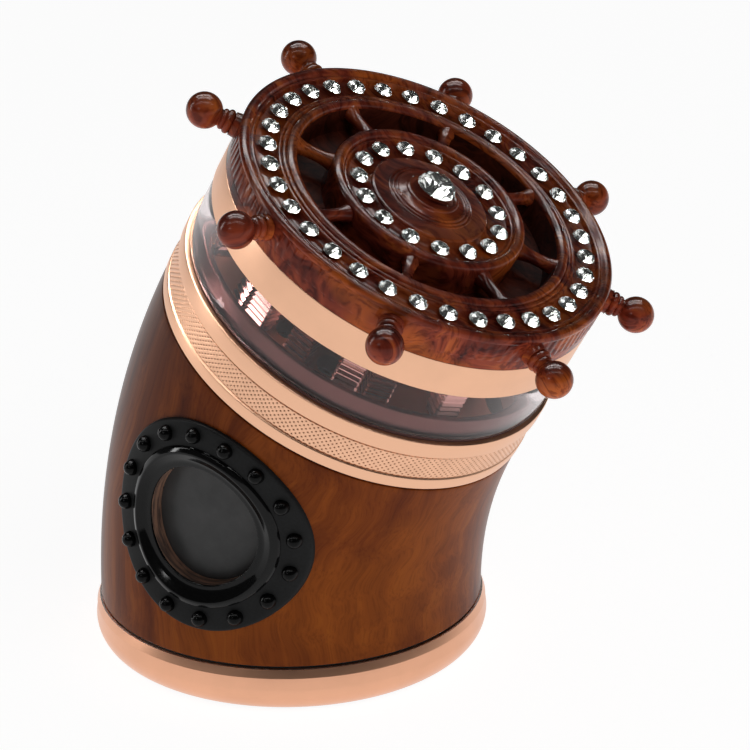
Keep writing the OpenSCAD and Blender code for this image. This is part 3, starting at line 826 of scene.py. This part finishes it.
# ---------------------------------------------------------------- the parts that keep their CAD shape


def dress(node, material):
    """Gives a CAD node its material, with its own vertices as grain."""
    mesh = frame["nodes"][node].data
    mesh.materials.clear()
    mesh.materials.append(material)
    add_grain(mesh, 1 / MM)


# ---------------------------------------------------------------- studio


FRONT = Vector((math.sin(CAMERA_TURN), -math.cos(CAMERA_TURN), 0))
SIDE = Vector((math.cos(CAMERA_TURN), math.sin(CAMERA_TURN), 0))


def area_light(name, turn, height, distance, size, radiance, gloss=True):
    """A light aimed at the object: turn is in degrees from the camera's side, height in degrees up."""
    turn, height = math.radians(turn), math.radians(height)
    middle = Vector((0.01, 0, 0.05))
    flat = math.cos(turn) * FRONT + math.sin(turn) * SIDE
    towards = math.cos(height) * flat + math.sin(height) * Vector((0, 0, 1))
    data = bpy.data.lights.new(name, "AREA")
    data.shape = "RECTANGLE"
    data.size, data.size_y = size
    data.energy = radiance * math.pi * size[0] * size[1]
    light = bpy.data.objects.new(name, data)
    light.location = middle + distance * towards
    across = SIDE - towards * SIDE.dot(towards) if abs(SIDE.dot(towards)) < 0.9 else FRONT
    across.normalize()
    light.rotation_euler = Matrix((across, towards.cross(across), towards)).transposed().to_euler()
    light.visible_diffuse = not gloss
    light.visible_glossy = gloss
    light.visible_transmission = gloss
    bpy.context.scene.collection.objects.link(light)


def world_ramp(world, value, start, end):
    """Carries a value from one level to another, each given as (where, level)."""
    made = world.node_tree.nodes.new("ShaderNodeMapRange")
    made.inputs["From Min"].default_value, made.inputs["To Min"].default_value = start
    made.inputs["From Max"].default_value, made.inputs["To Max"].default_value = end
    world.node_tree.links.new(value, made.inputs["Value"])
    return made.outputs["Result"]


def surroundings():
    """A pale room with a dimmer ceiling, dark behind the camera."""
    world = bpy.data.worlds.new("studio")
    world.use_nodes = True
    nodes, links = world.node_tree.nodes, world.node_tree.links
    facing = nodes.new("ShaderNodeVectorMath")
    facing.operation = "DOT_PRODUCT"
    facing.inputs[1].default_value = FRONT
    links.new(nodes.new("ShaderNodeTexCoord").outputs["Generated"], facing.inputs[0])
    height = nodes.new("ShaderNodeSeparateXYZ")
    links.new(nodes["Texture Coordinate"].outputs["Generated"], height.inputs[0])
    front = world_ramp(world, facing.outputs["Value"], (0.5, 1.0), (0.88, 0.16))
    ceiling = world_ramp(world, height.outputs["Z"], (0.15, 1.0), (0.9, 0.35))
    both = nodes.new("ShaderNodeMath")
    both.operation = "MULTIPLY"
    links.new(front, both.inputs[0])
    links.new(ceiling, both.inputs[1])
    links.new(both.outputs[0], nodes["Background"].inputs["Strength"])
    bpy.context.scene.world = world


def studio():
    """A plain pale floor that glows, the room round it and its lights."""
    floor = bpy.data.materials.new("studio_floor")
    floor.use_nodes = True
    surface = floor.node_tree.nodes["Principled BSDF"]
    surface.inputs["Base Color"].default_value = (0.25, 0.25, 0.25, 1)
    surface.inputs["Roughness"].default_value = 1.0
    surface.inputs["Specular IOR Level"].default_value = 0.0
    surface.inputs["Emission Color"].default_value = (1, 1, 1, 1)
    surface.inputs["Emission Strength"].default_value = 0.95
    reach = 12.0
    corners = [(-reach, -reach, 0), (reach, -reach, 0), (reach, reach, 0), (-reach, reach, 0)]
    mesh = bpy.data.meshes.new("floor")
    mesh.from_pydata(corners, [], [(0, 1, 2, 3)])
    mesh.materials.append(floor)
    ground = bpy.data.objects.new("floor", mesh)
    bpy.context.scene.collection.objects.link(ground)
    surroundings()
    area_light("key_box", 40, 45, 0.9, (0.5, 0.5), 1.4, False)
    area_light("top_strip_near", 180, 79, 0.7, (0.8, 0.09), 22)
    area_light("top_strip_far", 180, 60, 0.7, (0.8, 0.09), 22)
    area_light("left_strip", -95, 20, 0.8, (0.08, 0.5), 14)
    area_light("left_glint", -36, 26, 0.8, (0.16, 0.04), 14)
    area_light("front_strip", 0, 67, 0.8, (1.5, 0.08), 8)
    bpy.context.scene.view_settings.view_transform = "Standard"


def camera():
    """A long lens that looks down on the object from its front right."""
    elevation, roll, distance = math.radians(21.76), math.radians(-0.59), 0.53704
    back = math.cos(elevation) * FRONT + math.sin(elevation) * Vector((0, 0, 1))
    upright = back.cross(SIDE)
    right = math.cos(roll) * SIDE + math.sin(roll) * upright
    up = math.cos(roll) * upright - math.sin(roll) * SIDE
    target = Vector((0, 0, 0.045)) + 0.0142 * right + 0.00019 * up
    data = bpy.data.cameras.new("camera")
    data.lens = 159.46
    data.sensor_width = 36
    data.clip_start = 0.01
    made = bpy.data.objects.new("camera", data)
    aim = Matrix((right, up, back)).transposed().to_4x4()
    made.matrix_world = Matrix.Translation(target + distance * back) @ aim
    bpy.context.scene.collection.objects.link(made)
    bpy.context.scene.camera = made


# ---------------------------------------------------------------- build

camera()
studio()
base_cup()
barrel()
porthole()
tray()
knurl()
teeth("tray_teeth_skin", "tray", ["tray_teeth"], [(21.3, 10, 20), (12, 6, 0)], 7.0, 14.3, True)
lid()
teeth("lid_teeth_skin", "lid", ["lid_teeth"], [(26, 10, 5.5), (16.6, 8, 10)], 22.6, 11.0, False)
rim()
hub()
spokes()
handles()
stones("rim_stones", ["rim_gems"], 34, 26.92, 5.0, CHANNEL_H, STONE_R)
stones("hub_stones", ["hub_gems"], 15, 11.91, 1.7, HUB_CHANNEL_H, STONE_R)
stones("centre_stone", ["centre_gem"], 1, 0, 0, 32.8, CENTRE_STONE_R)

for node in ("base_seal", "neck_seal", "porthole_gasket"):
    dress(node, RUBBER)
dress("friction_ring", NYLON)
dress("sieve_screen", MESH_STEEL)
dress("sieve_ring", SPRING_STEEL)
dress("lid_screws", SCREW_STEEL)
dress("tray_magnet", NICKEL)
dress("lid_magnet", NICKEL)
dress("tooth_plate", GOLD_PLATE)
